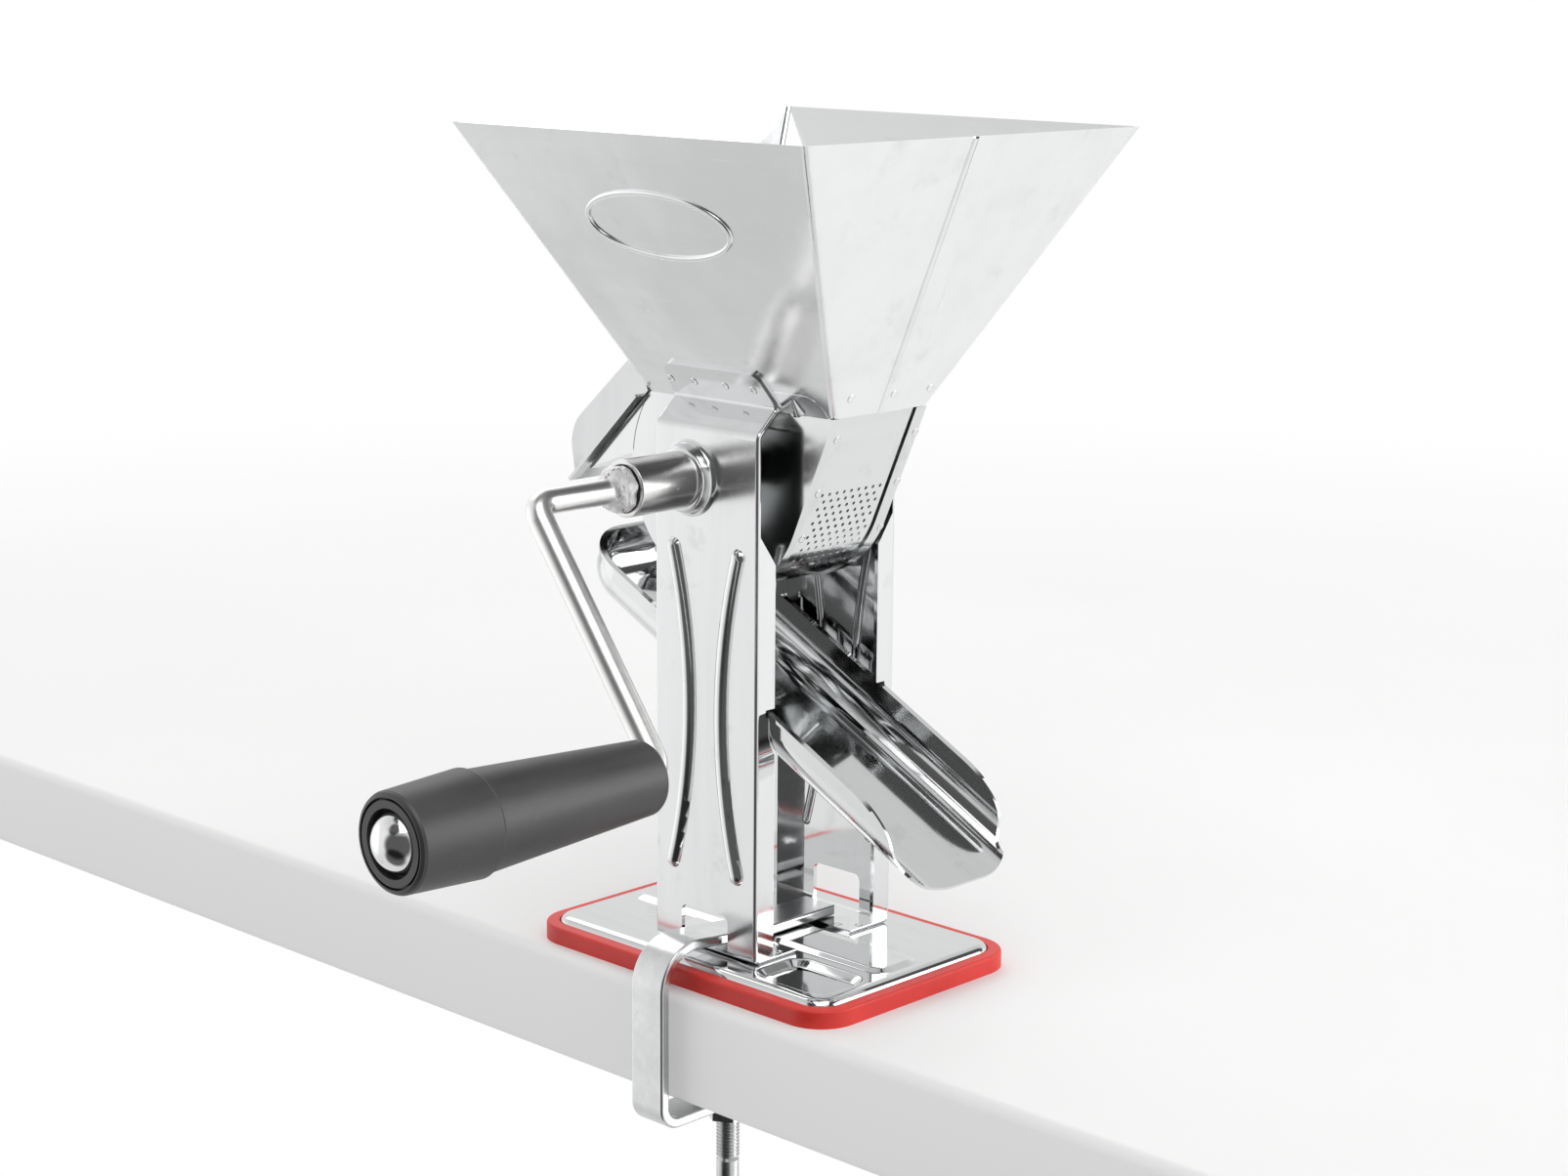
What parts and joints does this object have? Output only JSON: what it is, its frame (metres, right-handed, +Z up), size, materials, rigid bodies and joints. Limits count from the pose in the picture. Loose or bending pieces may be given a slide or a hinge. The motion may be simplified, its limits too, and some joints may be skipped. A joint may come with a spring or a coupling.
{
  "type": "hand-cranked food mill",
  "caption": "Table-clamped hand food mill: square hopper over a bladed roller and perforated drum, side crank with turned grip, sloping juice trough, rear skin outlet and rubber-edged base.",
  "frame": {"origin": "on the table top, under the middle of the base's rubber edging", "axes": "+Z up, -Y the way the juice trough leaves, -X the side of the crank and the table clamp"},
  "size_m": [0.2915, 0.1663, 0.4127],
  "materials": {
    "hopper_steel": "satin stainless sheet",
    "drum_steel": "bright stainless sheet",
    "screen_steel": "satin stainless sheet with fine round holes",
    "leg_steel": "polished stainless sheet",
    "base_steel": "polished pressed stainless sheet",
    "chute_steel": "polished stainless sheet",
    "gasket_rubber": "red moulded rubber",
    "bearing_steel": "polished turned tube",
    "bearing_nylon": "white nylon",
    "shaft_steel": "turned steel",
    "crank_chrome": "bright plated bar",
    "weld_steel": "rough shiny weld",
    "roller_nylon": "white food-grade nylon",
    "blade_nylon": "white food-grade nylon",
    "spring_steel": "spring steel strip",
    "grip_plastic": "black satin plastic",
    "cap_chrome": "bright domed cap",
    "clamp_zinc": "bright zinc plate",
    "screw_zinc": "bright zinc plate"
  },
  "bodies": {
    "frame": {"base_plate": "base_steel", "base_gasket": "gasket_rubber", "crank_side_leg": "leg_steel", "far_leg": "leg_steel", "hopper_crank_half": "hopper_steel", "hopper_far_half": "hopper_steel", "crank_side_cheek": "drum_steel", "far_cheek": "drum_steel", "screen": "screen_steel", "rear_apron": "drum_steel", "waste_hood": "drum_steel", "crank_bearing_tube": "bearing_steel", "crank_bush": "bearing_nylon", "far_bush": "bearing_nylon"},
    "crank": {"roller_shaft": "shaft_steel", "roller_body": "roller_nylon", "roller_pin": "shaft_steel", "far_washer": "shaft_steel", "shaft_clip": "shaft_steel", "crank_rod": "crank_chrome", "crank_weld": "weld_steel", "grip_cap": "cap_chrome", "vane_spring_1": "spring_steel", "vane_spring_2": "spring_steel", "vane_spring_3": "spring_steel", "vane_spring_4": "spring_steel"},
    "blade_1": {"vane_1": "blade_nylon"},
    "blade_2": {"vane_2": "blade_nylon"},
    "blade_3": {"vane_3": "blade_nylon"},
    "blade_4": {"vane_4": "blade_nylon"},
    "handle": {"grip": "grip_plastic"},
    "chute": {"juice_chute": "chute_steel"},
    "clamp": {"clamp_strap": "clamp_zinc", "clamp_nut": "clamp_zinc"},
    "pad": {"clamp_pad": "clamp_zinc"},
    "screw": {"clamp_screw": "screw_zinc", "tommy_bar": "screw_zinc"}
  },
  "joints": [
    {"name": "crank_turn", "type": "hinge", "parent": "frame", "child": "crank", "pos_m": [0, 0.0065, 0.17], "axis": [1, 0, 0], "continuous": true},
    {"name": "handle_spin", "type": "hinge", "parent": "crank", "child": "handle", "pos_m": [0, -0.05079, 0.09397], "axis": [1, 0, 0], "continuous": true},
    {"name": "blade_1_slide", "type": "slide", "parent": "crank", "child": "blade_1", "axis": [0, -0.7071, 0.7071], "range_m": [-0.002, 0], "stiffness_N_per_m": 800, "springref_m": 0.002, "deforming": ["vane_spring_1"]},
    {"name": "blade_2_slide", "type": "slide", "parent": "crank", "child": "blade_2", "axis": [0, -0.7071, -0.7071], "range_m": [-0.002, 0], "stiffness_N_per_m": 800, "springref_m": 0.002, "deforming": ["vane_spring_2"]},
    {"name": "blade_3_slide", "type": "slide", "parent": "crank", "child": "blade_3", "axis": [0, 0.7071, -0.7071], "range_m": [-0.002, 0], "stiffness_N_per_m": 800, "springref_m": 0.002, "deforming": ["vane_spring_3"]},
    {"name": "blade_4_slide", "type": "slide", "parent": "crank", "child": "blade_4", "axis": [0, 0.7071, 0.7071], "range_m": [-0.002, 0], "stiffness_N_per_m": 800, "springref_m": 0.002, "deforming": ["vane_spring_4"]},
    {"name": "chute_slide", "type": "slide", "parent": "frame", "child": "chute", "axis": [0, -0.8918, -0.4524], "range_m": [0, 0.07]},
    {"name": "clamp_slide", "type": "slide", "parent": "frame", "child": "clamp", "axis": [-1, 0, 0], "range_m": [0, 0.05]},
    {"name": "pad_rise", "type": "slide", "parent": "clamp", "child": "pad", "axis": [0, 0, 1], "range_m": [0, 0.0126]},
    {"name": "screw_turn", "type": "hinge", "parent": "pad", "child": "screw", "pos_m": [-0.0235, -0.0025, -0.05], "axis": [0, 0, 1], "range_deg": [0, 3600]}
  ],
  "couplings": [
    {"joint": "pad_rise", "follows": "screw_turn", "m_per_rad": 0.00019894}
  ]
}
